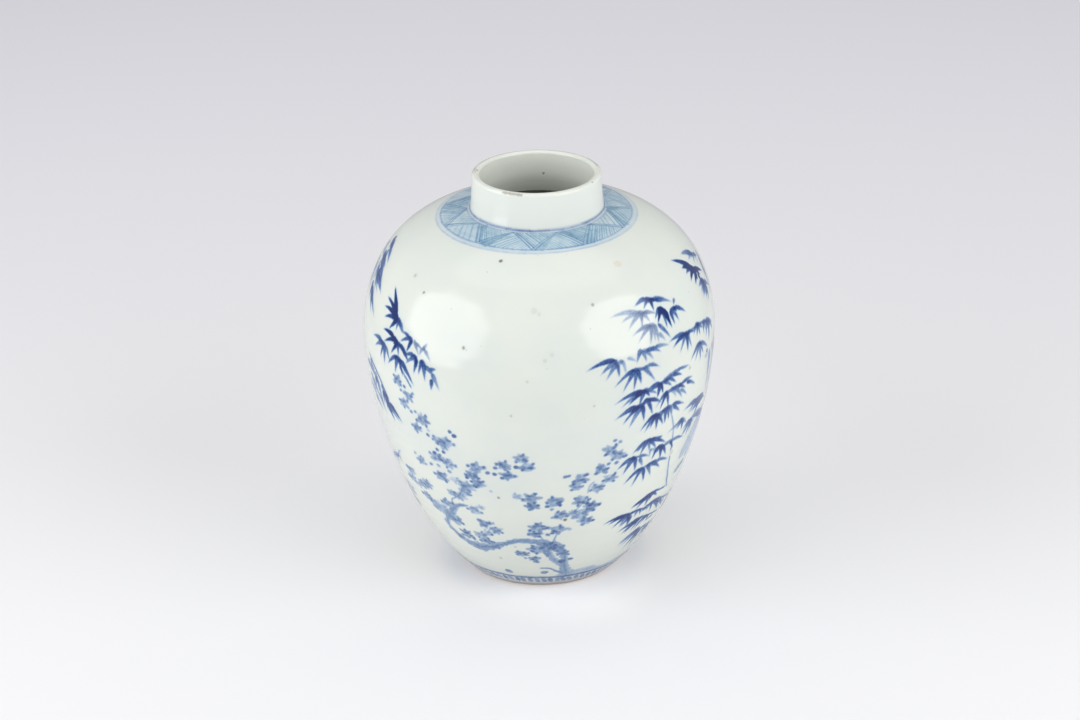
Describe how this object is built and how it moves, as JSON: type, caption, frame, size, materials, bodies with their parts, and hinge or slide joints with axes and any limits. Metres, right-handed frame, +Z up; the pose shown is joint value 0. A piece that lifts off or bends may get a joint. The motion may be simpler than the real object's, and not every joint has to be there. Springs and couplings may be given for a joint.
{
  "type": "porcelain jar",
  "caption": "Ovoid glazed porcelain jar with a full shoulder, a short straight neck open at the top and a low unglazed foot ring.",
  "frame": {"origin": "middle of the foot, at the level of the surface that the jar stands on", "axes": "+Z up along the jar's axis of turning; +X to the right and -Y towards the viewer of the pictured side"},
  "size_m": [0.24, 0.24, 0.2865],
  "materials": {
    "glaze": "clear glossy glaze with a faint grey-green cast over white porcelain",
    "biscuit": "bare fired clay, matt, flushed orange where it met the fire",
    "cobalt": "hand-painted cobalt blue under the clear glaze"
  },
  "bodies": {
    "root": {"foot_ring": "biscuit", "lower_body": "glaze", "belly_slip_seam": "glaze", "upper_body": "glaze", "neck_slip_seam": "glaze", "neck_collar": "glaze"}
  },
  "joints": []
}
